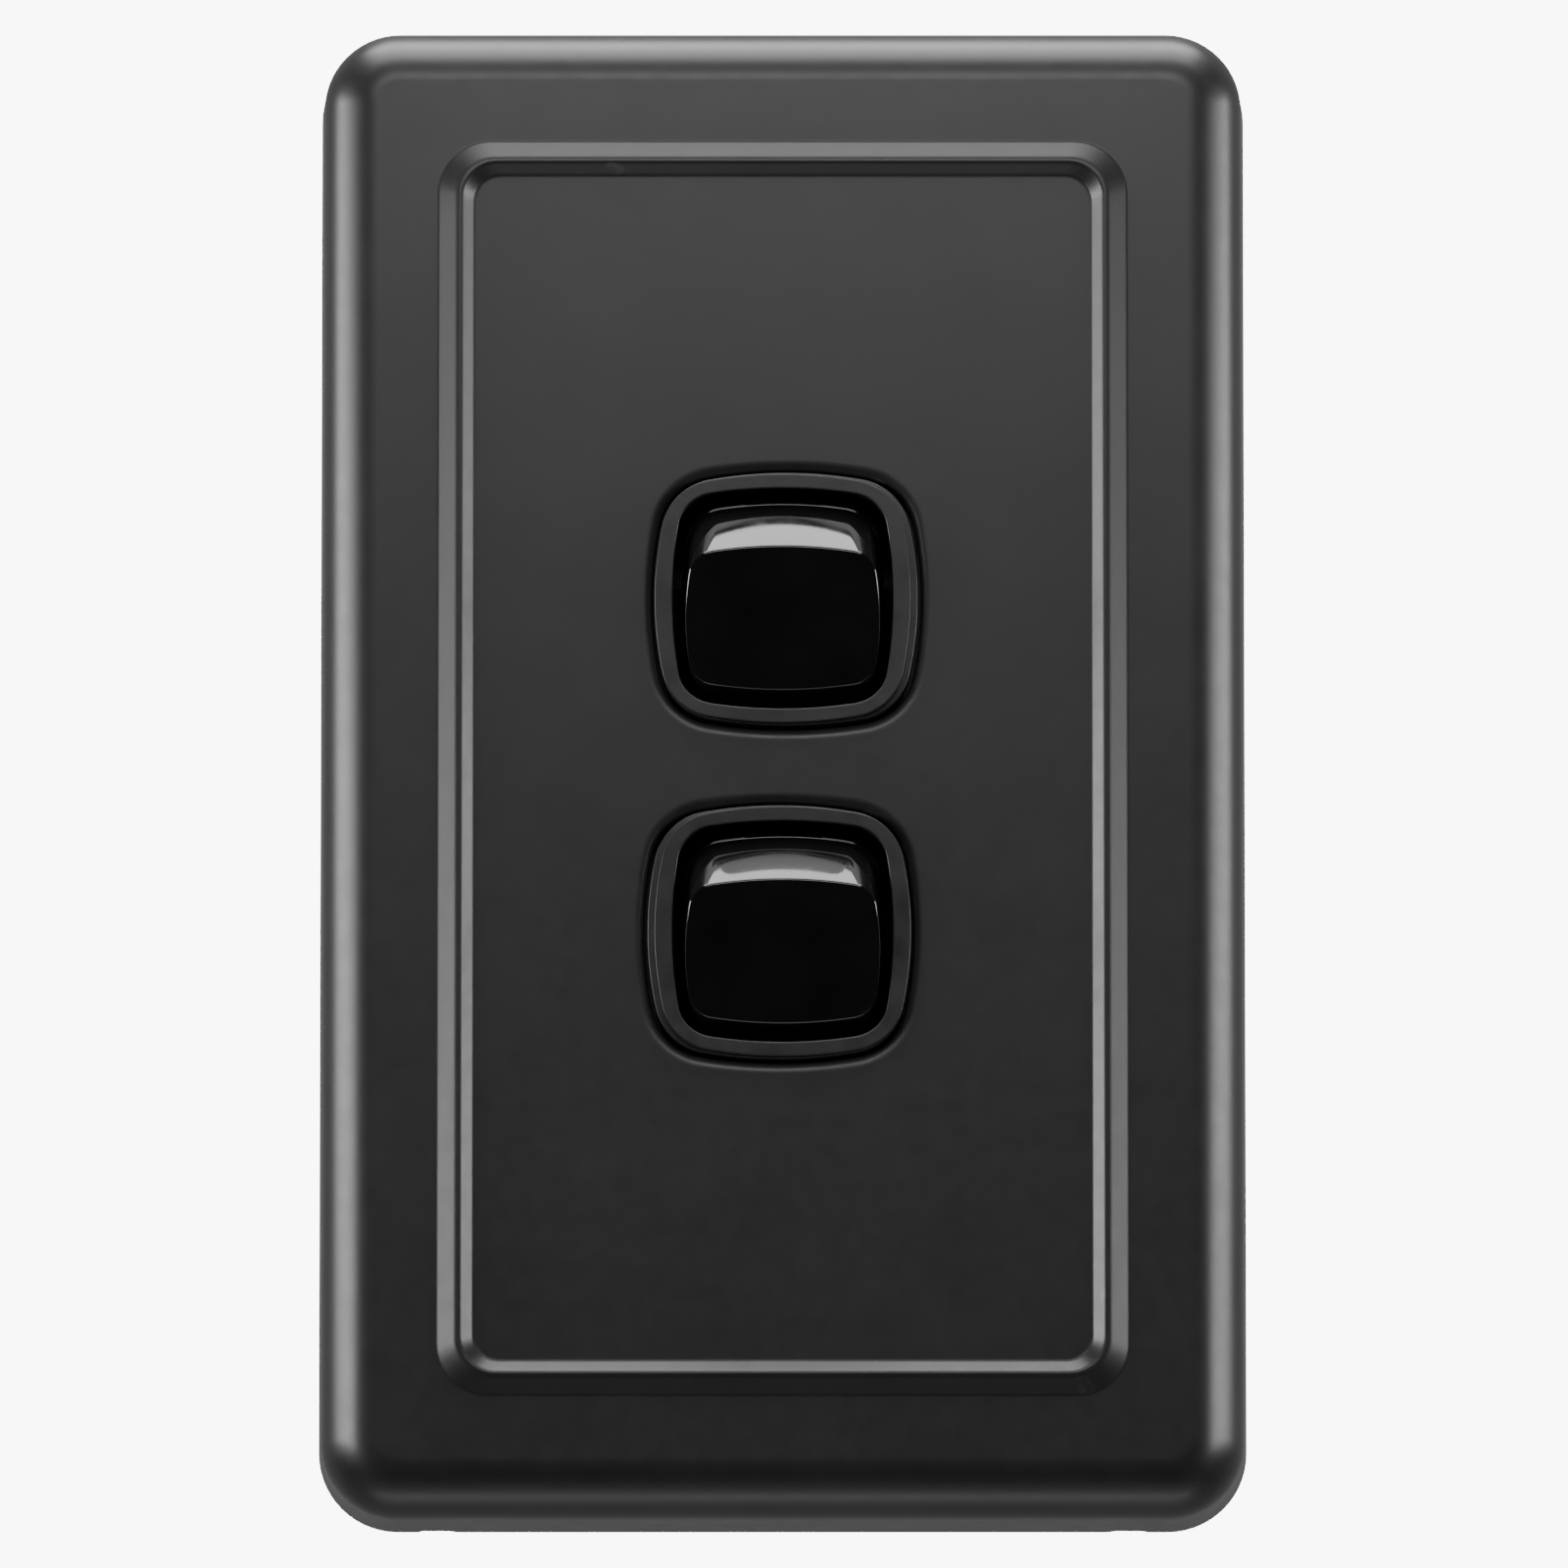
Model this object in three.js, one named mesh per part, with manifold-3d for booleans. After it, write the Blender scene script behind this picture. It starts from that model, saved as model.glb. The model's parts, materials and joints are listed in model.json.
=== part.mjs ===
// Two-gang vertical rocker wall switch.
//
// Millimetres, +Z up, +X to the right as seen from the room. The origin is the centre of the wall
// plane: the room is at -Y, the wall box at +Y. A pressed-metal cover clips over a moulded base,
// and the base carries two identical switch mechanisms, one above the other.

import * as THREE from 'three';
import Module from 'manifold-3d';
import { mergeVertices } from 'three/addons/utils/BufferGeometryUtils.js';

const wasm = await Module();
wasm.setup();

// ---------------------------------------------------------------- driving dimensions

const PLATE = { width: 70, height: 114, depth: 9.5, sheet: 1.2, corner: 6 };
const SKIRT = { depth: 5.3, draft: 0.26 };
const ROLL = { radius: 4.2, steps: 6 };
const BEAD = { outerX: 26.15, outerZ: 47.95, outerCorner: 4, innerX: 23.25, innerZ: 45.2, innerCorner: 2,
  height: 0.7, section: [[0, 0], [0.52, 0.9], [0.62, 1], [0.72, 0.9], [1, 0]] };
const COVER_HOLE = { halfX: 10.15, halfZ: 9.9, bulgeX: 1.35, bulgeZ: 1.15, corner: 4.6 };
const HOLE_SHIFT = 0.31;
const PRY_NOTCH = { x: 26, width: 2.9, depth: 0.75 };

const GANG_PITCH = 25.4;
const GANGS = [
  { name: 'upper', z: GANG_PITCH / 2, side: 1 },
  { name: 'lower', z: -GANG_PITCH / 2, side: -1 },
];

const BASE = { halfX: 33, halfZ: 55.5, corner: 4, wall: 2, webFront: -7.9, webBack: -5.9,
  aperture: 11, apertureCorner: 2 };
const RIB = { x: 15, z: 29, thickness: 1.2, back: -4.7, endX: 30.8, endZ: 53.3 };
const LUG = { z: 28, length: 7, reach: 0.3, front: -3.4, back: -1.4 };
const MOUNTING_SCREW = { z: 42, headRadius: 3.3, shankRadius: 1.6, headFront: -7.5, headBack: -5.6,
  tip: 16, recess: 1.3 };
const BOSS = { radius: 5, hole: 1.9, sink: 3.7 };

const MECHANISM = { half: 12.1, corner: 1.4, front: -5.6, split: 2, back: 20, joint: 0.3 };
const RING = { halfX: 9.65, halfZ: 9.5, bulgeX: 1.3, bulgeZ: 1.1, corner: 4.2 };
const STEP = { halfX: 9.92, halfZ: 9.66, bulgeX: 1.35, bulgeZ: 1.15, corner: 4.4 };
const COLLAR = { front: -10.3, stepY: -9.85, foot: -7.4, edge: 0.2, stepShift: 0.25, shoulder: 1 };
const WELL = { halfX: 8.3, halfZ: 8.42, bulgeX: 0.8, bulgeZ: 0.8, corner: 2.9 };
const WELL_DEPTHS = { lipBack: -9.3, underLip: -8.9, wide: -7 };
const WELL_WIDE = { ...WELL, halfX: 8.8, halfZ: 9.5 };
const WELL_FLOOR = { y: 0.6, windowX: 5, windowZ: 6.5 };

const PIVOT_Y = -3.46;
const TILT = THREE.MathUtils.degToRad(12);
const ROCKER_FACE = { halfX: 7.34, halfZ: 5.42, bulgeX: 0.55, bulgeZ: 0.65, corner: 2 };
const ROCKER_FOOT = { halfX: 7.4, halfZ: 8.2, bulgeX: 0.65, bulgeZ: 0.75, corner: 2.8 };
const ROCKER = { faceY: -8.27, footY: -4.55, skirtY: -4.2, skirtBack: -3.5, skirt: 0.3, edge: 0.25,
  wall: 1.1 };
const TRUNNION = { radius: 1.1, reach: 10.4, seat: 1.4, seatDepth: 11.1, earOut: 8.4,
  earHalf: 2, earFront: -3.8, earBack: 1.4 };
const PLUNGER = { tip: 8.76, radius: 1.15, top: -0.5, tube: 2.4, bore: 1.5, boreTop: -6, tubeBack: 2 };
const SPRING = { radius: 1.1, wire: 0.22, from: -5.6, to: -0.85, turns: 5 };

const LEVER = { y: 6, tilt: THREE.MathUtils.degToRad(7.8), halfX: 2.2, halfZ: 7.3, thickness: 0.8 };
const CONTACT = { z: 5.9, radius: 1.4, height: 0.6, fixedFront: 8.35, fixedHeight: 0.5 };
const RIVET_GAP = 0.05;

const CHAMBER = { halfX: 10, halfZ: 10.2, floor: 10.4 };
const POCKET = { innerX: 4.7, outerX: 10.9, innerZ: 3.2, outerZ: 9.6, floor: 11.6 };
const BARREL = { x: 7.8, z: 6.4, halfX: 2.8, halfZ: 2.9, corner: 1.1, front: 12, back: 19.4,
  wireRadius: 1.8, wireFloor: 13.4 };
const CLAMP_SCREW = { y: 16.2, headRadius: 1.9, headIn: 10.95, headOut: 12, shankRadius: 1.15,
  shankIn: 9.7, holeRadius: 2.15, slot: 0.6, slotDepth: 0.5 };
const STRIP = { front: 8.9, back: 9.7, bladeIn: 8.2, bladeOut: 9.2, half: 1.5, slack: 0.15 };

const CORNER_STEPS = 5;
const BULGE_STEPS = 3;

// ---------------------------------------------------------------- finishes

const finish = (color, roughness, metalness) =>
  new THREE.MeshStandardMaterial({ color, roughness, metalness, flatShading: true });

const FINISH = {
  coat: finish(0x1b1b1c, 0.5, 0.1),
  collar: finish(0x232324, 0.4, 0),
  gloss: finish(0x0b0b0c, 0.12, 0),
  base: finish(0x2c2c2e, 0.6, 0),
  rear: finish(0x3a3a3c, 0.55, 0),
  nylon: finish(0xd9d6cc, 0.5, 0),
  brass: finish(0xb5924c, 0.35, 1),
  silver: finish(0xc9c9c6, 0.3, 1),
  steel: finish(0x9d9fa1, 0.35, 1),
};

// ---------------------------------------------------------------- solids

function toSolid(geometry) {
  const bare = geometry.index ? geometry.toNonIndexed() : geometry.clone();
  bare.deleteAttribute('normal');
  bare.deleteAttribute('uv');
  const merged = mergeVertices(bare, 1e-4);
  const index = merged.index.array;
  const triangles = [];
  for (let i = 0; i < index.length; i += 3) {
    const [a, b, c] = [index[i], index[i + 1], index[i + 2]];
    if (a !== b && b !== c && c !== a) triangles.push(a, b, c);
  }
  const vertProperties = new Float32Array(merged.attributes.position.array);
  const triVerts = new Uint32Array(triangles);
  return new wasm.Manifold(new wasm.Mesh({ numProp: 3, vertProperties, triVerts }));
}

const join = (...solids) => solids.reduce((whole, piece) => whole.add(piece));
const cut = (solid, ...tools) => tools.reduce((whole, tool) => whole.subtract(tool), solid);

function piece(name, solid, material) {
  const mesh = solid.getMesh();
  const geometry = new THREE.BufferGeometry();
  geometry.setAttribute('position', new THREE.BufferAttribute(Float32Array.from(mesh.vertProperties), 3));
  geometry.setIndex(Array.from(mesh.triVerts));
  geometry.computeVertexNormals();
  const node = new THREE.Mesh(geometry, material);
  node.name = name;
  return node;
}

// A ring is a closed list of points at one depth y, and every ring of a loft has as many points.
function roundedRect(halfX, halfZ, corner, y, centreX = 0, centreZ = 0) {
  const ring = [];
  for (let quarter = 0; quarter < 4; quarter++) {
    const signX = quarter === 0 || quarter === 3 ? 1 : -1;
    const signZ = quarter < 2 ? 1 : -1;
    for (let step = 0; step <= CORNER_STEPS; step++) {
      const angle = (quarter + step / CORNER_STEPS) * Math.PI / 2;
      const x = centreX + signX * (halfX - corner) + corner * Math.cos(angle);
      const z = centreZ + signZ * (halfZ - corner) + corner * Math.sin(angle);
      ring.push([x, y, z]);
    }
  }
  return ring;
}

// Where two circles about (a, 0) and (0, b) cross in the quadrant of positive x and z.
function crossing(a, radiusA, b, radiusB) {
  const apart = Math.hypot(a, b);
  const along = (radiusA ** 2 - radiusB ** 2 + apart ** 2) / (2 * apart);
  const off = Math.sqrt(radiusA ** 2 - along ** 2);
  const [stepX, stepZ] = [-a / apart, b / apart];
  return [a + along * stepX - off * stepZ, along * stepZ + off * stepX];
}

// A square with bulging sides and round corners. Each bulge is how far the middle of a side stands
// out beyond the point where the sides would meet, and each corner is an arc between two side arcs.
function pillow({ halfX, halfZ, bulgeX, bulgeZ, corner }, y, centreX = 0, centreZ = 0) {
  const sideRadius = ((halfZ - bulgeZ) ** 2 + bulgeX ** 2) / (2 * bulgeX);
  const topRadius = ((halfX - bulgeX) ** 2 + bulgeZ ** 2) / (2 * bulgeZ);
  const [sideX, topZ] = [halfX - sideRadius, halfZ - topRadius];
  const [cornerX, cornerZ] = crossing(sideX, sideRadius - corner, topZ, topRadius - corner);
  const sideEnd = Math.atan2(cornerZ, cornerX - sideX);
  const topStart = Math.atan2(cornerZ - topZ, cornerX);
  const arcs = [
    [sideX, 0, sideRadius, 0, sideEnd, BULGE_STEPS],
    [cornerX, cornerZ, corner, sideEnd, topStart, CORNER_STEPS],
    [0, topZ, topRadius, topStart, Math.PI / 2, BULGE_STEPS],
  ];
  const quarter = [];
  for (const [x, z, radius, start, end, steps] of arcs) {
    for (let step = 0; step < steps; step++) {
      const angle = start + (end - start) * step / steps;
      quarter.push([x + radius * Math.cos(angle), z + radius * Math.sin(angle)]);
    }
  }
  const back = [...quarter.slice(1), [0, halfZ]].reverse();
  const half = [...quarter, ...back.map(([x, z]) => [-x, z])];
  const whole = [...half, ...half.map(([x, z]) => [-x, -z])];
  return whole.map(([x, z]) => [centreX + x, y, centreZ + z]);
}

// The same outline moved outwards by an amount, or inwards where it is negative.
function grow(outline, amount) {
  const { halfX, halfZ, corner } = outline;
  return { ...outline, halfX: halfX + amount, halfZ: halfZ + amount, corner: corner + amount };
}

// Skins the rings in order and closes both ends with a fan.
function loft(rings) {
  const count = rings[0].length;
  const corners = [];
  const skin = (a, b, c) => corners.push(...a, ...b, ...c);
  for (let level = 1; level < rings.length; level++) {
    const [near, far] = [rings[level - 1], rings[level]];
    for (let i = 0; i < count; i++) {
      const next = (i + 1) % count;
      skin(near[i], near[next], far[next]);
      skin(near[i], far[next], far[i]);
    }
  }
  for (const [ring, flipped] of [[rings[0], true], [rings.at(-1), false]]) {
    const centre = [0, 1, 2].map((axis) => ring.reduce((sum, point) => sum + point[axis], 0) / count);
    for (let i = 0; i < count; i++) {
      const next = (i + 1) % count;
      if (flipped) skin(ring[next], ring[i], centre);
      else skin(ring[i], ring[next], centre);
    }
  }
  const geometry = new THREE.BufferGeometry();
  geometry.setAttribute('position', new THREE.Float32BufferAttribute(corners, 3));
  return toSolid(outwards(geometry));
}

// Turns every triangle over when the skin encloses a negative volume.
function outwards(geometry) {
  const points = geometry.attributes.position;
  const [a, b, c] = [new THREE.Vector3(), new THREE.Vector3(), new THREE.Vector3()];
  let volume = 0;
  for (let i = 0; i < points.count; i += 3) {
    a.fromBufferAttribute(points, i);
    b.fromBufferAttribute(points, i + 1);
    c.fromBufferAttribute(points, i + 2);
    volume += a.dot(b.cross(c));
  }
  if (volume > 0) return geometry;
  for (let i = 0; i < points.count; i += 3) {
    b.fromBufferAttribute(points, i + 1);
    c.fromBufferAttribute(points, i + 2);
    points.setXYZ(i + 1, c.x, c.y, c.z);
    points.setXYZ(i + 2, b.x, b.y, b.z);
  }
  return geometry;
}

// A pair of values along one axis, mirrored when the sign is negative.
const span = (sign, from, to) => [sign * from, sign * to];

// A box between two values along each axis, given in either order.
function block([x0, x1], [y0, y1], [z0, z1]) {
  const box = new THREE.BoxGeometry(Math.abs(x1 - x0), Math.abs(y1 - y0), Math.abs(z1 - z0));
  return toSolid(box.translate((x0 + x1) / 2, (y0 + y1) / 2, (z0 + z1) / 2));
}

// A round bar along Y or X.
function rodAlongY(radius, from, to, x = 0, z = 0, sides = 20) {
  const bar = new THREE.CylinderGeometry(radius, radius, Math.abs(to - from), sides);
  return toSolid(bar.translate(x, (from + to) / 2, z));
}

function rodAlongX(radius, from, to, y = 0, z = 0, sides = 20) {
  const bar = new THREE.CylinderGeometry(radius, radius, Math.abs(to - from), sides);
  return toSolid(bar.rotateZ(Math.PI / 2).translate((from + to) / 2, y, z));
}

// A turned solid about the Y axis from [radius, y] points that start and end on the axis.
function turned(profile, sides = 20) {
  const points = profile.map(([radius, y]) => new THREE.Vector2(radius, y));
  return toSolid(outwards(new THREE.LatheGeometry(points, sides).toNonIndexed()));
}

// ---------------------------------------------------------------- cover and base

// One face of the cover sheet, from the wall to the middle of the panel, at a depth under the paint.
function coverSkin(under) {
  const centreY = -SKIRT.depth;
  const rollRadius = ROLL.radius - under;
  const inset = (amount, y) => roundedRect(PLATE.width / 2 - amount, PLATE.height / 2 - amount,
    Math.max(PLATE.corner - amount, 0.6), y);
  const rings = [inset(under, 0)];
  for (let step = 0; step <= ROLL.steps; step++) {
    const angle = step / ROLL.steps * Math.PI / 2;
    const amount = SKIRT.draft + ROLL.radius - rollRadius * Math.cos(angle);
    rings.push(inset(amount, centreY - rollRadius * Math.sin(angle)));
  }
  for (const [across, rise] of BEAD.section) {
    const between = (outer, inner) => outer + (inner - outer) * across;
    rings.push(roundedRect(between(BEAD.outerX, BEAD.innerX), between(BEAD.outerZ, BEAD.innerZ),
      between(BEAD.outerCorner, BEAD.innerCorner), -PLATE.depth + under - BEAD.height * rise));
  }
  return rings;
}

function coverPlate() {
  const shell = loft([...coverSkin(0).reverse(), ...coverSkin(PLATE.sheet)]);
  const holes = GANGS.map(({ z, side }) => loft([-PLATE.depth - 2, -PLATE.depth + 3].map((y) =>
    pillow(COVER_HOLE, y, side * HOLE_SHIFT, z))));
  const notches = [-1, 1].map((side) => {
    const [from, to] = [side * PRY_NOTCH.x - PRY_NOTCH.width / 2, side * PRY_NOTCH.x + PRY_NOTCH.width / 2];
    return block([from, to], [-PRY_NOTCH.depth, 1], [-PLATE.height / 2 - 1, -PLATE.height / 2 + 2.5]);
  });
  return cut(shell, ...holes, ...notches);
}

function basePlate() {
  const outer = loft([
    roundedRect(BASE.halfX, BASE.halfZ, BASE.corner, 0),
    roundedRect(BASE.halfX, BASE.halfZ, BASE.corner, -5.4),
    roundedRect(BASE.halfX - 1.8, BASE.halfZ - 1.8, BASE.corner - 1.5, -7.4),
    roundedRect(BASE.halfX - 2.3, BASE.halfZ - 2.3, BASE.corner - 1.8, BASE.webFront),
  ]);
  const hollow = loft([BASE.webBack, 1].map((y) =>
    roundedRect(BASE.halfX - BASE.wall, BASE.halfZ - BASE.wall, BASE.corner - BASE.wall, y)));
  const apertures = GANGS.map(({ z }) => loft([BASE.webFront - 1, BASE.webBack + 1].map((y) =>
    roundedRect(BASE.aperture, BASE.aperture, BASE.apertureCorner, y, 0, z))));
  const lugs = [[1, 1], [1, -1], [-1, 1], [-1, -1]].map(([sideX, sideZ]) => block(
    [sideX * (BASE.halfX - 1), sideX * (BASE.halfX + LUG.reach)], [LUG.front, LUG.back],
    [sideZ * LUG.z - LUG.length / 2, sideZ * LUG.z + LUG.length / 2]));
  const ribDepth = [BASE.webBack - 0.5, RIB.back];
  const ribs = [-1, 1].flatMap((side) => [
    block(span(side, RIB.x, RIB.x + RIB.thickness), ribDepth, [-RIB.endZ, RIB.endZ]),
    block([-RIB.endX, RIB.endX], ribDepth, span(side, RIB.z, RIB.z + RIB.thickness)),
  ]);
  const bosses = [-1, 1].map((side) =>
    rodAlongY(BOSS.radius, BASE.webBack - 0.5, 0, 0, side * MOUNTING_SCREW.z, 28));
  const holes = [-1, 1].flatMap((side) => [
    rodAlongY(BOSS.hole, BASE.webFront - 1, 1, 0, side * MOUNTING_SCREW.z),
    turnedSink().translate([0, 0, side * MOUNTING_SCREW.z]),
  ]);
  return cut(join(cut(outer, hollow), ...lugs, ...ribs, ...bosses), ...apertures, ...holes);
}

// The countersink that a mounting screw's head sits in.
function turnedSink() {
  const above = BASE.webFront - 1;
  const below = MOUNTING_SCREW.headBack + 0.3;
  return turned([[0, above], [BOSS.sink, above], [BOSS.sink, MOUNTING_SCREW.headFront], [BOSS.hole, below],
    [0, below]]);
}

function mountingScrew() {
  const { headRadius, shankRadius, headFront, headBack, tip, recess } = MOUNTING_SCREW;
  const body = turned([[0, headFront], [headRadius, headFront], [headRadius, headFront + 0.3],
    [shankRadius, headBack], [shankRadius, tip - 1.2], [0.5, tip], [0, tip]]);
  const [arm, half] = [2, 0.35];
  const cross = [block([-arm, arm], [headFront - 1, headFront + recess], [-half, half]),
    block([-half, half], [headFront - 1, headFront + recess], [-arm, arm])];
  return cut(body, ...cross);
}

// ---------------------------------------------------------------- mechanism housings

// The collar's ring stands on a step that shows on one side only, the side given. A ledge round the
// bottom of the well closes the view past the rocker and leaves a window for the plunger.
function frontHousing(side) {
  const { front, stepY, foot, edge, stepShift, shoulder } = COLLAR;
  const ring = loft([
    pillow(grow(RING, -edge), front),
    pillow(RING, front + edge),
    pillow(RING, foot),
    pillow(grow(RING, shoulder), foot + 0.05),
    pillow(grow(RING, shoulder), MECHANISM.front + 1),
  ]);
  const step = loft([stepY, foot + 0.5].map((y) => pillow(STEP, y, side * stepShift)));
  const body = loft([MECHANISM.front, MECHANISM.split].map((y) =>
    roundedRect(MECHANISM.half, MECHANISM.half, MECHANISM.corner, y)));
  const well = loft([
    pillow(grow(WELL, 0.55), front - 0.3),
    pillow(WELL, front + 0.25),
    pillow(WELL, WELL_DEPTHS.lipBack),
    pillow({ ...WELL_WIDE, halfZ: (WELL.halfZ + WELL_WIDE.halfZ) / 2 }, WELL_DEPTHS.underLip),
    pillow(WELL_WIDE, WELL_DEPTHS.wide),
    pillow(WELL_WIDE, WELL_FLOOR.y),
  ]);
  const window = block([-WELL_FLOOR.windowX, WELL_FLOOR.windowX], [WELL_FLOOR.y - 1, MECHANISM.split + 1],
    [-WELL_FLOOR.windowZ, WELL_FLOOR.windowZ]);
  const seat = rodAlongX(TRUNNION.seat, -TRUNNION.seatDepth, TRUNNION.seatDepth, PIVOT_Y);
  return cut(join(ring, step, body), well, window, seat);
}

// The four terminals sit in the corners of the rear housing, named by their side signs.
const CORNERS = [[1, 1], [1, -1], [-1, 1], [-1, -1]];

function rearHousing() {
  const shell = loft([MECHANISM.split + MECHANISM.joint, MECHANISM.back].map((y) =>
    roundedRect(MECHANISM.half, MECHANISM.half, MECHANISM.corner, y)));
  const chamber = block([-CHAMBER.halfX, CHAMBER.halfX], [MECHANISM.split - 1, CHAMBER.floor],
    [-CHAMBER.halfZ, CHAMBER.halfZ]);
  const pockets = CORNERS.map(([sideX, sideZ]) => block(span(sideX, POCKET.innerX, POCKET.outerX),
    [POCKET.floor, MECHANISM.back + 1], span(sideZ, POCKET.innerZ, POCKET.outerZ)));
  const headHoles = CORNERS.map(([sideX, sideZ]) => rodAlongX(CLAMP_SCREW.holeRadius,
    sideX * (POCKET.outerX - 1), sideX * (MECHANISM.half + 1), CLAMP_SCREW.y, sideZ * BARREL.z));
  const bladeSlots = [[1, 1], [1, -1], [-1, -1]].map(([sideX, sideZ]) => block(
    span(sideX, STRIP.bladeIn - STRIP.slack, STRIP.bladeOut + STRIP.slack),
    [CHAMBER.floor - 1, POCKET.floor + 1],
    span(sideZ, BARREL.z - STRIP.half - STRIP.slack, BARREL.z + STRIP.half + STRIP.slack)));
  return cut(shell, chamber, ...pockets, ...headHoles, ...bladeSlots);
}

// ---------------------------------------------------------------- rocker, in its own frame about the pivot

function rockerBody() {
  const { faceY, footY, skirt, skirtY, skirtBack, edge, wall } = ROCKER;
  const outer = loft([
    pillow(grow(ROCKER_FACE, -edge), faceY),
    pillow(ROCKER_FACE, faceY + edge * 0.4),
    pillow(ROCKER_FOOT, footY),
    pillow(grow(ROCKER_FOOT, skirt * 0.6), skirtY - 0.15),
    pillow(grow(ROCKER_FOOT, skirt), skirtY),
    pillow(grow(ROCKER_FOOT, skirt), skirtBack),
  ]);
  const hollow = loft([
    pillow(grow(ROCKER_FACE, -wall), faceY + wall),
    pillow(grow(ROCKER_FOOT, -wall), footY + wall / 2),
    pillow(grow(ROCKER_FOOT, -wall), skirtBack + 1),
  ]);
  const { earOut, earHalf, earFront, earBack, radius, reach } = TRUNNION;
  const ears = [-1, 1].map((side) => block(span(side, ROCKER_FOOT.halfX - wall - 0.5, earOut),
    [earFront, earBack], [-earHalf, earHalf]));
  const pins = [-1, 1].map((side) => rodAlongX(radius, side * (earOut - 0.5), side * reach));
  const tube = rodAlongY(PLUNGER.tube, faceY + 0.6, PLUNGER.tubeBack);
  const bore = rodAlongY(PLUNGER.bore, PLUNGER.boreTop, PLUNGER.tubeBack + 1);
  return cut(join(cut(outer, hollow), ...ears, ...pins, tube), bore);
}

function plungerBody() {
  const { radius, top, tip } = PLUNGER;
  const nose = [0, 1, 2, 3, 4].map((step) => {
    const angle = step / 4 * Math.PI / 2;
    return [radius * Math.cos(angle), tip - radius + radius * Math.sin(angle)];
  });
  nose[4][0] = 0;
  return turned([[0, top], [radius, top], ...nose], 20);
}

class Helix extends THREE.Curve {
  getPoint(t, target = new THREE.Vector3()) {
    const angle = t * SPRING.turns * Math.PI * 2;
    const y = SPRING.from + (SPRING.to - SPRING.from) * t;
    return target.set(SPRING.radius * Math.cos(angle), y, SPRING.radius * Math.sin(angle));
  }
}

function springCoil() {
  const section = new THREE.Shape().absarc(0, 0, SPRING.wire, 0, Math.PI * 2);
  const coil = new THREE.ExtrudeGeometry(section, {
    steps: SPRING.turns * 9, extrudePath: new Helix(), curveSegments: 3, bevelEnabled: false,
  });
  return toSolid(outwards(coil));
}

// ---------------------------------------------------------------- contacts and terminals

// The see-saw lever, in its own frame about its knife edge.
function leverPlate() {
  const ends = [-1, 1].map((side) => rodAlongY(LEVER.halfX, -LEVER.thickness / 2, LEVER.thickness / 2, 0,
    side * (LEVER.halfZ - LEVER.halfX)));
  return join(block([-LEVER.halfX, LEVER.halfX], [-LEVER.thickness / 2, LEVER.thickness / 2],
    [-LEVER.halfZ + LEVER.halfX, LEVER.halfZ - LEVER.halfX]), ...ends);
}

function movingTip(side) {
  const back = LEVER.thickness / 2 + RIVET_GAP;
  return rodAlongY(CONTACT.radius, back, back + CONTACT.height, 0, side * CONTACT.z, 18);
}

function fixedTip(side) {
  return rodAlongY(CONTACT.radius, CONTACT.fixedFront, CONTACT.fixedFront + CONTACT.fixedHeight, 0,
    side * CONTACT.z, 18);
}

function barrel(sideX, sideZ) {
  const [x, z] = [sideX * BARREL.x, sideZ * BARREL.z];
  const body = loft([BARREL.front, BARREL.back].map((y) =>
    roundedRect(BARREL.halfX, BARREL.halfZ, BARREL.corner, y, x, z)));
  const wireHole = rodAlongY(BARREL.wireRadius, BARREL.wireFloor, BARREL.back + 1, x, z);
  const screwHole = rodAlongX(CLAMP_SCREW.shankRadius + STRIP.slack, x,
    sideX * (BARREL.x + BARREL.halfX + 1), CLAMP_SCREW.y, z, 20);
  return cut(body, wireHole, screwHole);
}

function blade(sideX, sideZ) {
  return block(span(sideX, STRIP.bladeIn, STRIP.bladeOut), [STRIP.front, BARREL.front + 0.5],
    span(sideZ, BARREL.z - STRIP.half, BARREL.z + STRIP.half));
}

// A switched terminal: barrel, blade, and a strip that carries the fixed contact.
function switchedTerminal(sideZ) {
  const strip = block([-2.4, STRIP.bladeOut], [STRIP.front, STRIP.back], span(sideZ, 4.4, 7.4));
  return join(barrel(1, sideZ), blade(1, sideZ), strip);
}

// The common terminal: its strip turns to the middle and ends in the lever's knife edge.
function commonTerminal() {
  const half = 1.4;
  const rise = block([-STRIP.bladeOut, -5.6], [STRIP.front, STRIP.back], [-BARREL.z - STRIP.half, half]);
  const across = block([-STRIP.bladeOut, 1.6], [STRIP.front, STRIP.back], [-half, half]);
  const edge = new THREE.Shape([new THREE.Vector2(-1, STRIP.back - 0.2), new THREE.Vector2(-0.15, 6.7),
    new THREE.Vector2(0.15, 6.7), new THREE.Vector2(1, STRIP.back - 0.2)]);
  const knife = new THREE.ExtrudeGeometry(edge, { depth: 3.2, bevelEnabled: false });
  knife.rotateY(-Math.PI / 2).translate(1.6, 0, 0);
  return join(barrel(-1, -1), blade(-1, -1), rise, across, toSolid(knife));
}

function clampScrew(sideX, sideZ) {
  const { y, headRadius, headIn, headOut, shankRadius, shankIn, slot, slotDepth } = CLAMP_SCREW;
  const z = sideZ * BARREL.z;
  const head = rodAlongX(headRadius, sideX * headIn, sideX * headOut, y, z);
  const shank = rodAlongX(shankRadius, sideX * shankIn, sideX * (headIn + 0.2), y, z, 16);
  const driver = block(span(sideX, headOut - slotDepth, headOut + 1),
    [y - headRadius - 1, y + headRadius + 1], [z - slot / 2, z + slot / 2]);
  return cut(join(head, shank), driver);
}

// ---------------------------------------------------------------- assembly

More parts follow.
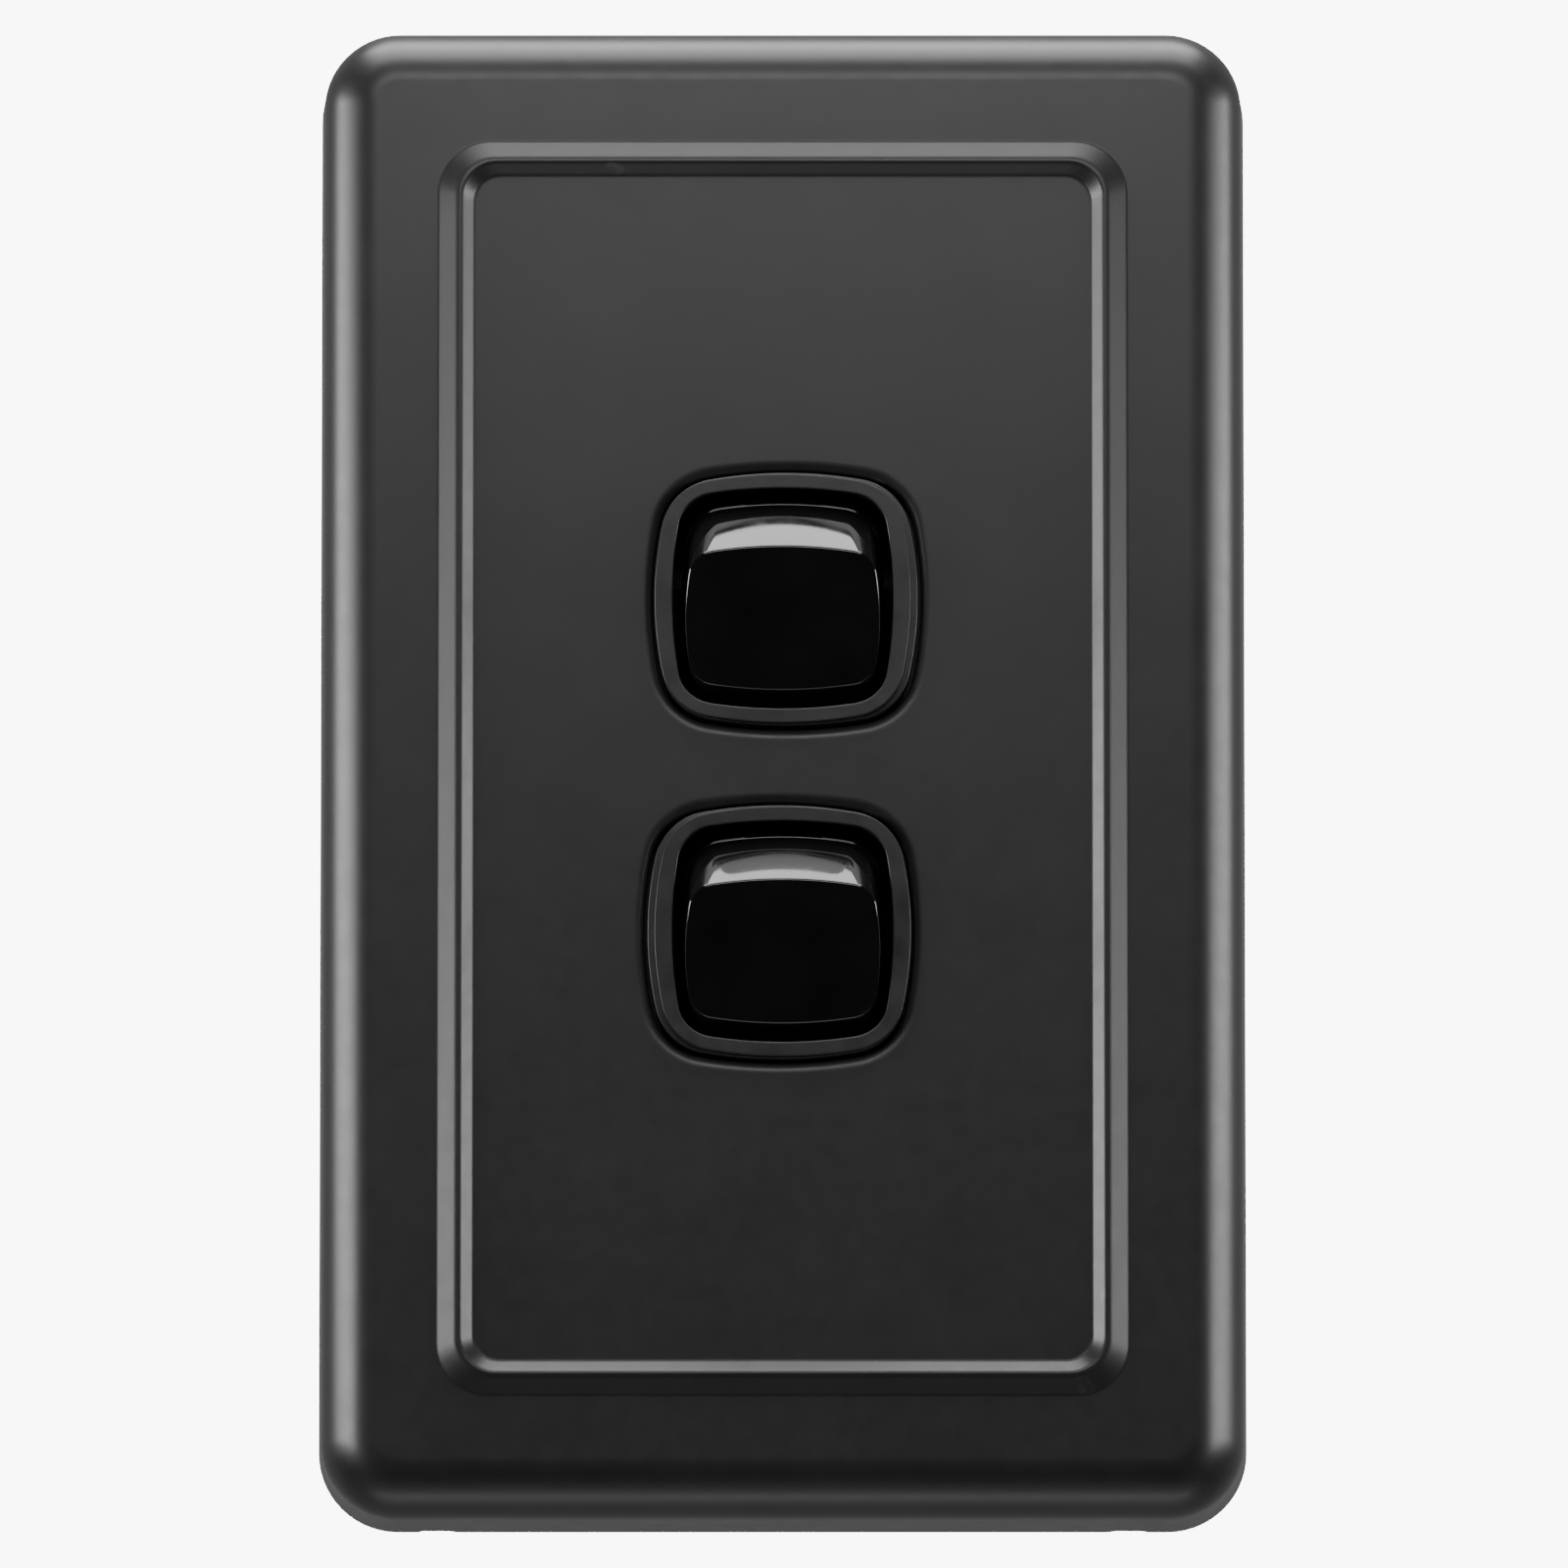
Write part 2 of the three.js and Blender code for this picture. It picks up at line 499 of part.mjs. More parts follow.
function mechanism({ name, z, side }) {
  const gang = new THREE.Group();
  gang.position.z = z;
  gang.add(
    piece(`front_housing_${name}`, frontHousing(side), FINISH.collar),
    piece(`rear_housing_${name}`, rearHousing(), FINISH.rear),
    piece(`common_terminal_${name}`, commonTerminal(), FINISH.brass),
    piece(`terminal_one_${name}`, switchedTerminal(1), FINISH.brass),
    piece(`terminal_two_${name}`, switchedTerminal(-1), FINISH.brass),
    piece(`loop_terminal_${name}`, barrel(-1, 1), FINISH.brass),
    piece(`fixed_contact_one_${name}`, fixedTip(1), FINISH.silver),
    piece(`fixed_contact_two_${name}`, fixedTip(-1), FINISH.silver),
  );
  const owners = ['terminal_one', 'terminal_two', 'loop', 'common'];
  CORNERS.forEach(([sideX, sideZ], index) =>
    gang.add(piece(`${owners[index]}_screw_${name}`, clampScrew(sideX, sideZ), FINISH.steel)));

  const rocker = new THREE.Group();
  rocker.position.y = PIVOT_Y;
  rocker.rotation.x = TILT;
  rocker.add(
    piece(`rocker_${name}`, rockerBody(), FINISH.gloss),
    piece(`plunger_${name}`, plungerBody(), FINISH.nylon),
    piece(`plunger_spring_${name}`, springCoil(), FINISH.steel),
  );

  const lever = new THREE.Group();
  lever.position.y = LEVER.y;
  lever.rotation.x = -LEVER.tilt;
  lever.add(
    piece(`moving_contact_${name}`, leverPlate(), FINISH.brass),
    piece(`moving_tip_one_${name}`, movingTip(1), FINISH.silver),
    piece(`moving_tip_two_${name}`, movingTip(-1), FINISH.silver),
  );
  gang.add(rocker, lever);
  return gang;
}

const wallSwitch = new THREE.Group();
wallSwitch.add(
  piece('cover_plate', coverPlate(), FINISH.coat),
  piece('grid_plate', basePlate(), FINISH.base),
);
for (const [name, side] of [['upper', 1], ['lower', -1]]) {
  const screw = piece(`mounting_screw_${name}`, mountingScrew(), FINISH.steel);
  screw.position.z = side * MOUNTING_SCREW.z;
  wallSwitch.add(screw);
}
wallSwitch.add(...GANGS.map(mechanism));

export default wallSwitch;
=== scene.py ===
"""Looks of the two-gang rocker wall switch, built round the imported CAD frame.

Shapes are worked out in millimetres and become metres when a mesh is made. The wall plane is y = 0,
the room is at -y, and +z is up.
"""
import json
import math
from collections import namedtuple

import bmesh
import bpy
from mathutils import Matrix, Vector


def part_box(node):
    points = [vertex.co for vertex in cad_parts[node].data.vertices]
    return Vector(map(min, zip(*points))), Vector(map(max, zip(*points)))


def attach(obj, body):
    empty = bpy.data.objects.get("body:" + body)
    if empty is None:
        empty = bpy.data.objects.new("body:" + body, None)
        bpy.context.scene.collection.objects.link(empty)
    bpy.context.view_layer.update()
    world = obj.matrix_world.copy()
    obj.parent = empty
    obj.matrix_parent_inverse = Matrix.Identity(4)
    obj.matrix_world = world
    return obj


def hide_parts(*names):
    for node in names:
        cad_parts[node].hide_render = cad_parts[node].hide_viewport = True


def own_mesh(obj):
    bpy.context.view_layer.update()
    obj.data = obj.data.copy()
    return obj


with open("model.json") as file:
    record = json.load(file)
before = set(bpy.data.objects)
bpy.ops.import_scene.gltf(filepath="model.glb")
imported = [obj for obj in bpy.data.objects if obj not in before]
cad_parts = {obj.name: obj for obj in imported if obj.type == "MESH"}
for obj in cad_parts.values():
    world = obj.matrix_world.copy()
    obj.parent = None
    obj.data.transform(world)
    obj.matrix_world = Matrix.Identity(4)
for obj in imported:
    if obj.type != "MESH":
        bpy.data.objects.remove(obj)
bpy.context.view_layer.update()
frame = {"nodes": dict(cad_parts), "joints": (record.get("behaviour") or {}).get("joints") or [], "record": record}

MM = 0.001
NODES = frame["nodes"]
JOINTS = {joint["name"]: joint for joint in frame["joints"]}
GANGS = ("upper", "lower")
SIDE = {"upper": 1, "lower": -1}


def box_mm(node):
    """The lowest and highest corners of a CAD node, in millimetres."""
    low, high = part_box(node)
    return low / MM, high / MM


# ---------------------------------------------------------------- sizes taken from the frame

PLATE_LOW, PLATE_HIGH = box_mm("cover_plate")
HALF_WIDTH, HALF_HEIGHT = PLATE_HIGH.x, PLATE_HIGH.z
BEAD_HEIGHT = 0.7
PANEL_Y = PLATE_LOW.y + BEAD_HEIGHT
GANG_Z = {gang: sum(corner.z for corner in box_mm(f"front_housing_{gang}")) / 2 for gang in GANGS}
COLLAR_FRONT = box_mm("front_housing_upper")[0].y
BLOCK_BACK = box_mm("front_housing_upper")[1].y
BLOCK_HALF = box_mm("front_housing_upper")[1].x
PIVOT_Y = JOINTS["rocker_upper_tilt"]["pos_m"][1] / MM
TILT = math.radians(JOINTS["rocker_upper_tilt"]["range_deg"][1]) / 2
TRUNNION_REACH = box_mm("rocker_upper")[1].x


# ---------------------------------------------------------------- outlines

def rounded_rect(half_x, half_z, corner, y, long_steps=56, short_steps=120, arc_steps=14):
    """A closed ring of points, with the same count whatever its size."""
    corner = min(corner, half_x - 0.01, half_z - 0.01)
    flat_x, flat_z = half_x - corner, half_z - corner
    sides = (
        (1, 1, Vector((half_x, y, -flat_z)), Vector((half_x, y, flat_z)), long_steps),
        (-1, 1, Vector((flat_x, y, half_z)), Vector((-flat_x, y, half_z)), short_steps),
        (-1, -1, Vector((-half_x, y, flat_z)), Vector((-half_x, y, -flat_z)), long_steps),
        (1, -1, Vector((-flat_x, y, -half_z)), Vector((flat_x, y, -half_z)), short_steps),
    )
    points = []
    for quarter, (sign_x, sign_z, start, end, steps) in enumerate(sides):
        points += [start.lerp(end, step / steps) for step in range(steps)]
        for step in range(arc_steps):
            angle = (quarter + step / arc_steps) * math.pi / 2
            points.append(Vector((sign_x * flat_x + corner * math.cos(angle), y,
                                  sign_z * flat_z + corner * math.sin(angle))))
    return points


Pillow = namedtuple("Pillow", "half_x half_z bulge_x bulge_z corner")


def grown(outline, amount):
    """The same pillow moved outwards by an amount, or inwards where it is negative."""
    half_x, half_z, bulge_x, bulge_z, corner = outline
    return Pillow(half_x + amount, half_z + amount, bulge_x, bulge_z, max(corner + amount, 0.1))


def crossing(a, radius_a, b, radius_b):
    """Where circles about (a, 0) and (0, b) cross in the quadrant of positive x and z."""
    apart = math.hypot(a, b)
    along = (radius_a ** 2 - radius_b ** 2 + apart ** 2) / (2 * apart)
    off = math.sqrt(radius_a ** 2 - along ** 2)
    step_x, step_z = -a / apart, b / apart
    return a + along * step_x - off * step_z, along * step_z + off * step_x


def pillow(outline, y, centre=(0, 0), side_steps=12, corner_steps=16):
    """A square ring with bulging sides, joined by an arc at each corner."""
    half_x, half_z, bulge_x, bulge_z, corner = outline
    side_radius = ((half_z - bulge_z) ** 2 + bulge_x ** 2) / (2 * bulge_x)
    top_radius = ((half_x - bulge_x) ** 2 + bulge_z ** 2) / (2 * bulge_z)
    side_x, top_z = half_x - side_radius, half_z - top_radius
    corner_x, corner_z = crossing(side_x, side_radius - corner, top_z, top_radius - corner)
    side_end = math.atan2(corner_z, corner_x - side_x)
    top_start = math.atan2(corner_z - top_z, corner_x)
    arcs = (
        (side_x, 0, side_radius, 0, side_end, side_steps),
        (corner_x, corner_z, corner, side_end, top_start, corner_steps),
        (0, top_z, top_radius, top_start, math.pi / 2, side_steps),
    )
    quarter = []
    for x, z, radius, start, end, steps in arcs:
        for step in range(steps):
            angle = start + (end - start) * step / steps
            quarter.append((x + radius * math.cos(angle), z + radius * math.sin(angle)))
    half = quarter + [(-x, z) for x, z in reversed(quarter[1:] + [(0, half_z)])]
    whole = half + [(-x, -z) for x, z in half]
    return [Vector((centre[0] + x, y, centre[1] + z)) for x, z in whole]


def fillet(start, bend, end, steps=5):
    """Points of a rounded corner from start to end, pulled towards bend; each point is a tuple."""
    curve = []
    for step in range(steps + 1):
        t = step / steps
        weights = ((1 - t) ** 2, 2 * t * (1 - t), t ** 2)
        curve.append(tuple(sum(w * p[axis] for w, p in zip(weights, (start, bend, end)))
                           for axis in range(len(start))))
    return curve


# ---------------------------------------------------------------- mesh work

class Skin:
    """A mesh under construction, fed with rings of points in millimetres."""

    def __init__(self):
        self.bm = bmesh.new()

    def ring(self, points):
        return [self.bm.verts.new(point * MM) for point in points]

    def bridge(self, near, far):
        count = len(near)
        for i in range(count):
            after = (i + 1) % count
            self.bm.faces.new((near[i], near[after], far[after], far[i]))

    def tube(self, outlines, closed=False):
        """Bridges outlines in order, and returns the first and last rings."""
        rings = [self.ring(points) for points in outlines]
        for near, far in zip(rings, rings[1:]):
            self.bridge(near, far)
        if closed:
            self.bridge(rings[-1], rings[0])
        return rings[0], rings[-1]

    def cap(self, ring):
        self.bm.faces.new(ring)

    def fill(self, *rings):
        """Fills the flat region between an outer ring and the rings inside it."""
        edges = []
        for ring in rings:
            for i, vertex in enumerate(ring):
                edges.append(self.bm.edges.get((vertex, ring[(i + 1) % len(ring)])))
        bmesh.ops.triangle_fill(self.bm, edges=edges, use_beauty=True, use_dissolve=False)

    def solid(self, name):
        """Ends the work: the finished object, its faces turned outwards."""
        bmesh.ops.recalc_face_normals(self.bm, faces=self.bm.faces)
        mesh = bpy.data.meshes.new(name)
        self.bm.to_mesh(mesh)
        self.bm.free()
        piece = bpy.data.objects.new(name, mesh)
        bpy.context.scene.collection.objects.link(piece)
        return piece


def closed_loft(name, outlines):
    skin = Skin()
    first, last = skin.tube(outlines)
    skin.cap(first)
    skin.cap(last)
    return skin.solid(name)


def bar(name, radius, start, end, steps=40):
    """A round bar between two points in millimetres."""
    axis = (end - start).normalized()
    side = axis.orthogonal().normalized()
    other = axis.cross(side)
    angles = [2 * math.pi * step / steps for step in range(steps)]
    spokes = [(side * math.cos(a) + other * math.sin(a)) * radius for a in angles]
    return closed_loft(name, [[centre + spoke for spoke in spokes] for centre in (start, end)])


def slab(name, low, high):
    """A plain box used for joining and cutting."""
    outline = [(low.x, low.z), (high.x, low.z), (high.x, high.z), (low.x, high.z)]
    return closed_loft(name, [[Vector((x, y, z)) for x, z in outline] for y in (low.y, high.y)])


def combine(piece, others, operation):
    """Joins or cuts a piece with helper objects, which are used up."""
    for other in others:
        change = piece.modifiers.new("combine", "BOOLEAN")
        change.operation = operation
        change.solver = "EXACT"
        change.object = other
        bpy.context.view_layer.update()
        graph = bpy.context.evaluated_depsgraph_get()
        shaped = bpy.data.meshes.new_from_object(piece.evaluated_get(graph))
        piece.modifiers.remove(change)
        piece.data = shaped
        bpy.data.objects.remove(other)
    return piece


def add_shell(piece, other):
    """Puts another closed shell into a piece's mesh, overlapping it; the helper is used up."""
    shells = bmesh.new()
    shells.from_mesh(piece.data)
    shells.from_mesh(other.data)
    shells.to_mesh(piece.data)
    shells.free()
    bpy.data.objects.remove(other)


def smooth(piece, degrees=32):
    """Smooth shading that keeps edges sharper than an angle."""
    for polygon in piece.data.polygons:
        polygon.use_smooth = True
    piece.data.set_sharp_from_angle(angle=math.radians(degrees))


def keep_flats_flat(piece):
    """Lets the large faces set the shading, so that a rounded edge beside a flat does not bend it."""
    weighted = piece.modifiers.new("weighted", "WEIGHTED_NORMAL")
    weighted.weight = 50
    weighted.keep_sharp = True


def dress(piece, material, slot, body, *replaced):
    """Gives a new piece its finish, its body and the CAD nodes that it stands for."""
    piece.data.materials.clear()
    piece.data.materials.append(material)
    smooth(piece)
    keep_flats_flat(piece)
    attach(piece, body)
    if replaced:
        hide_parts(*replaced)
    return piece


# ---------------------------------------------------------------- cover

SHEET = 1.2
DRAFT = 0.26
ROLL_RADIUS = 4.2
ROLL_STEPS = 14
PLATE_CORNER = 6
BEAD_OUTER = (26.15, 47.95, 4)
BEAD_INNER = (23.25, 45.2, 2)
BEAD_STEPS = 30
BEAD_CREST = 0.62
BEAD_FOOT_BLEND = 0.12
BEAD_CREST_BLEND = 0.22
HOLE = Pillow(10.15, 9.9, 1.35, 1.15, 4.6)
HOLE_SHIFT = 0.31
LIP = {"reach": 0.75, "drop": 0.5, "steps": 9}
NOTCH = {"x": 26, "half": 1.45, "ramp": 0.35, "depth": 0.75}


def notch_depth(x):
    """How far the lower rim is cut back at a place along its length."""
    beyond = abs(abs(x) - NOTCH["x"]) - NOTCH["half"] + NOTCH["ramp"]
    share = min(max(1 - beyond / NOTCH["ramp"], 0), 1)
    return NOTCH["depth"] * share * share * (3 - 2 * share)


def rim(inset):
    """The cover's back rim, cut back at the two pry notches in its lower side."""
    ring = rounded_rect(HALF_WIDTH - inset, HALF_HEIGHT - inset, PLATE_CORNER - inset, 0)
    for point in ring:
        if point.z < PLATE_CORNER - HALF_HEIGHT:
            point.y -= notch_depth(point.x)
    return ring


def bead_rise(across):
    """The bead's height at a share of its width: two plain slopes, with soft feet and crest."""
    foot, crest = BEAD_FOOT_BLEND, BEAD_CREST_BLEND
    slope = across / BEAD_CREST if across < BEAD_CREST else (1 - across) / (1 - BEAD_CREST)
    low = slope ** 2 / (2 * foot) if slope < foot else slope - foot / 2
    cut_off = max(slope - 1 + crest, 0) ** 2 / (2 * crest)
    return BEAD_HEIGHT * (low - cut_off) / (1 - (foot + crest) / 2)


def cover_outlines(under):
    """One face of the sheet from the wall to the bead's inner edge, at a depth under the paint."""
    radius = ROLL_RADIUS - under
    centre_y = PANEL_Y + ROLL_RADIUS
    outlines = [rim(under + 0.12), rim(under)] if under == 0 else [rim(under)]
    outlines += [rounded_rect(HALF_WIDTH - under - DRAFT * share, HALF_HEIGHT - under - DRAFT * share,
                              PLATE_CORNER - under, centre_y * share) for share in (0.2, 0.6)]
    for step in range(ROLL_STEPS + 1):
        angle = step / ROLL_STEPS * math.pi / 2
        inset = DRAFT + ROLL_RADIUS - radius * math.cos(angle)
        outlines.append(rounded_rect(HALF_WIDTH - inset, HALF_HEIGHT - inset,
                                     max(PLATE_CORNER - inset, 0.8), centre_y - radius * math.sin(angle)))
    for step in range(BEAD_STEPS + 1):
        across = step / BEAD_STEPS
        half_x, half_z, corner = (a + (b - a) * across for a, b in zip(BEAD_OUTER, BEAD_INNER))
        outlines.append(rounded_rect(half_x, half_z, corner, PANEL_Y + under - bead_rise(across)))
    half_x, half_z, corner = BEAD_INNER
    outlines.append(rounded_rect(half_x - 0.15, half_z - 0.15, corner - 0.15, PANEL_Y + under))
    return outlines


def lip_outlines(gang):
    """The drawn-in edge of a hole, from the panel's face over the cut edge to its back."""
    centre = (SIDE[gang] * HOLE_SHIFT, GANG_Z[gang])
    face = [(LIP["reach"] + 0.12, PANEL_Y)]
    for step in range(LIP["steps"] + 1):
        angle = step / LIP["steps"] * math.pi / 2
        face.append((LIP["reach"] * (1 - math.sin(angle)), PANEL_Y + LIP["drop"] * (1 - math.cos(angle))))
    back = [(0, PANEL_Y + SHEET - 0.05), (0.05, PANEL_Y + SHEET)]
    return [pillow(grown(HOLE, outward), y, centre) for outward, y in face + back]


def make_cover():
    skin = Skin()
    outer_first, outer_last = skin.tube(cover_outlines(0))
    inner_first, inner_last = skin.tube(cover_outlines(SHEET))
    skin.bridge(outer_first, inner_first)
    lips = [skin.tube(lip_outlines(gang)) for gang in GANGS]
    skin.fill(outer_last, *[lip[0] for lip in lips])
    skin.fill(inner_last, *[lip[1] for lip in lips])
    return dress(skin.solid("cover"), powder_coat(), "cover_coat", "frame", "cover_plate")


# ---------------------------------------------------------------- front housings

RING = Pillow(9.65, 9.5, 1.3, 1.1, 4.2)
RING_EDGE = 0.07
STEP = Pillow(9.92, 9.66, 1.35, 1.15, 4.4)
STEP_Y = -9.85
STEP_EDGE = 0.08
STEP_SHIFT = 0.25
COLLAR_FOOT = -7.4
SHOULDER_OUT = 1
BLOCK_FRONT = -5.6
BLOCK_CORNER = 1.4
BLOCK_EDGE = 0.2
WELL = Pillow(8.3, 8.42, 0.8, 0.8, 2.9)
WELL_EDGE = 0.1
FLAT_GUARD = 0.04
WELL_LIP_BACK = -9.3
WELL_WIDE = Pillow(8.8, 9.5, 0.8, 0.8, 2.9)
WELL_WIDE_Y = -8.7
WINDOW = Pillow(5, 6.5, 0.01, 0.01, 0.2)
LEDGE_Y = 0.6
SEAT_RADIUS = 1.4
SEAT_REACH = 11.1


def make_front_housing(gang):
    """The collar's ring, the step that shows on one side of it, and the block with its windowed ledge."""
    centre = (0, GANG_Z[gang])
    outward = [(-RING_EDGE - FLAT_GUARD, COLLAR_FRONT)]
    outward += fillet((-RING_EDGE, COLLAR_FRONT), (0, COLLAR_FRONT), (0, COLLAR_FRONT + RING_EDGE))
    outward += [(0, COLLAR_FOOT), (SHOULDER_OUT, COLLAR_FOOT + 0.05), (SHOULDER_OUT, BLOCK_FRONT)]
    outlines = [pillow(grown(RING, out), y, centre) for out, y in outward]
    block = Pillow(BLOCK_HALF, BLOCK_HALF, 0.01, 0.01, BLOCK_CORNER)
    for out, y in ((-BLOCK_EDGE, BLOCK_FRONT), (0, BLOCK_FRONT + BLOCK_EDGE), (0, BLOCK_BACK - BLOCK_EDGE),
                   (-BLOCK_EDGE, BLOCK_BACK)):
        outlines.append(pillow(grown(block, out), y, centre))
    outlines += [pillow(WINDOW, y, centre) for y in (BLOCK_BACK, LEDGE_Y)]
    outlines += [pillow(WELL_WIDE, y, centre) for y in (LEDGE_Y, WELL_WIDE_Y)]
    mouth = [(WELL_EDGE + FLAT_GUARD, COLLAR_FRONT)]
    mouth += fillet((WELL_EDGE, COLLAR_FRONT), (0, COLLAR_FRONT), (0, COLLAR_FRONT + WELL_EDGE))
    outlines.append(pillow(WELL, WELL_LIP_BACK, centre))
    outlines += [pillow(grown(WELL, out), y, centre) for out, y in reversed(mouth)]
    skin = Skin()
    skin.tube(outlines, closed=True)
    housing = skin.solid(f"collar_housing_{gang}")
    beside = (SIDE[gang] * STEP_SHIFT, GANG_Z[gang])
    edge = fillet((-STEP_EDGE, STEP_Y), (0, STEP_Y), (0, STEP_Y + STEP_EDGE), 4)
    outlines = [pillow(grown(STEP, out), y, beside) for out, y in edge + [(0, COLLAR_FOOT + 0.3)]]
    outlines += [pillow(grown(WELL, 0.4), y, centre) for y in (COLLAR_FOOT + 0.3, STEP_Y)]
    skin = Skin()
    skin.tube(outlines, closed=True)
    step = skin.solid("step")
    seat = bar("seat", SEAT_RADIUS, Vector((-SEAT_REACH, PIVOT_Y, centre[1])),
               Vector((SEAT_REACH, PIVOT_Y, centre[1])))
    combine(housing, [seat], "DIFFERENCE")
    add_shell(housing, step)
    return dress(housing, collar_plastic(), "collar_plastic", "frame", f"front_housing_{gang}")


# ---------------------------------------------------------------- rockers

ROCKER_FACE = Pillow(7.34, 5.42, 0.55, 0.65, 2)
ROCKER_FOOT = Pillow(7.4, 8.2, 0.65, 0.75, 2.8)
FACE_Y = -8.27
FACE_CROWN = 0.08
CREASE = 0.14
FOOT_Y = -4.55
SKIRT_OUT = 0.3
SKIRT_Y = -4.2
SKIRT_BACK = -3.5
ROCKER_WALL = 1.1
PIN_RADIUS = 1.1
TUBE_RADIUS = 2.4
BORE_RADIUS = 1.5
BORE_TOP = -6
TUBE_BACK = 2
EAR_OUT = 8.4
EAR_FRONT = -3.8
EAR_BACK = 1.4
EAR_HALF = 2


def mixed(near, far, share):
    """A pillow part of the way from one to another."""
    return Pillow(*(a + (b - a) * share for a, b in zip(near, far)))


def rocker_place(gang):
    """From the rocker's own frame, square to its face and about its pivot, to where it rests."""
    return Matrix.Translation(Vector((0, PIVOT_Y, GANG_Z[gang])) * MM) @ Matrix.Rotation(TILT, 4, "X")


def make_rocker(gang):
    """Works in the rocker's own frame, square to its face, then tilts it about the pivot."""
    depth = FOOT_Y - FACE_Y
    inner = grown(ROCKER_FACE, -CREASE)
    outlines = []
    for share in (0.05, 0.2, 0.4, 0.6, 0.8, 0.92, 1):
        shrunk = Pillow(*(value * share for value in inner))
        outlines.append(pillow(shrunk, FACE_Y + FACE_CROWN * share ** 2))
    face_edge = FACE_Y + FACE_CROWN
    wall_start = CREASE / depth
    for out, share in fillet((-CREASE, 0), (0, 0), (0, wall_start), 8)[1:]:
        section = grown(mixed(ROCKER_FACE, ROCKER_FOOT, share), out)
        outlines.append(pillow(section, face_edge + depth * share))
    outlines += [pillow(mixed(ROCKER_FACE, ROCKER_FOOT, share), FACE_Y + depth * share)
                 for share in (0.3, 0.6, 0.9, 1)]
    ledge = fillet((0, FOOT_Y), (0.04, SKIRT_Y - 0.1), (SKIRT_OUT * 0.55, SKIRT_Y - 0.05), 4)
    skirt = fillet((SKIRT_OUT * 0.7, SKIRT_Y - 0.04), (SKIRT_OUT, SKIRT_Y - 0.04),
                   (SKIRT_OUT, SKIRT_Y + 0.12), 4)
    skirt.append((SKIRT_OUT, SKIRT_BACK))
    outlines += [pillow(grown(ROCKER_FOOT, out), y) for out, y in ledge[1:] + skirt]
    inside = ((ROCKER_FOOT, SKIRT_BACK), (ROCKER_FOOT, FOOT_Y + 0.5), (ROCKER_FACE, FACE_Y + ROCKER_WALL))
    outlines += [pillow(grown(outline, -ROCKER_WALL), y) for outline, y in inside]
    rocker = closed_loft(f"rocker_{gang}_fine", outlines)

    ear_in = ROCKER_FOOT.half_x - ROCKER_WALL - 0.3
    ears = [slab("ear", Vector((min(side * ear_in, side * EAR_OUT), EAR_FRONT, -EAR_HALF)),
                 Vector((max(side * ear_in, side * EAR_OUT), EAR_BACK, EAR_HALF))) for side in (-1, 1)]
    pins = [bar("pin", PIN_RADIUS, Vector((side * (EAR_OUT - 1), 0, 0)),
                Vector((side * TRUNNION_REACH, 0, 0))) for side in (-1, 1)]
    tube = bar("tube", TUBE_RADIUS, Vector((0, FACE_Y + 0.5, 0)), Vector((0, TUBE_BACK, 0)))
    bore = bar("bore", BORE_RADIUS, Vector((0, BORE_TOP, 0)), Vector((0, TUBE_BACK + 1, 0)))
    combine(rocker, ears + pins + [tube], "UNION")
    combine(rocker, [bore], "DIFFERENCE")
    rocker.data.transform(rocker_place(gang))
    return dress(rocker, rocker_plastic(), "rocker_plastic", f"rocker_{gang}", f"rocker_{gang}")


COIL = {"radius": 1.1, "wire": 0.22, "from": -5.6, "to": -0.85, "turns": 5, "steps": 120, "sides": 12}


def make_spring(gang):
    """A coil in the rocker's bore, made at one fixed length and carried by the rocker; it does not shorten as the
    plunger slides in.
    """
    length = COIL["to"] - COIL["from"]
    outlines = []
    for step in range(COIL["steps"] + 1):
        share = step / COIL["steps"]
        turn = 2 * math.pi * COIL["turns"] * share
        outward = Vector((math.cos(turn), 0, math.sin(turn)))
        centre = outward * COIL["radius"] + Vector((0, COIL["from"] + length * share, 0))
        angles = [2 * math.pi * side / COIL["sides"] for side in range(COIL["sides"])]
        outlines.append([centre + (outward * math.cos(a) + Vector((0, math.sin(a), 0))) * COIL["wire"]
                         for a in angles])
    spring = closed_loft(f"plunger_spring_{gang}_fine", outlines)
    place = rocker_place(gang)
    spring.data.transform(place)
    dress(spring, spring_steel(), "spring_steel", f"rocker_{gang}", f"plunger_spring_{gang}")
    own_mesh(spring)


# ---------------------------------------------------------------- materials

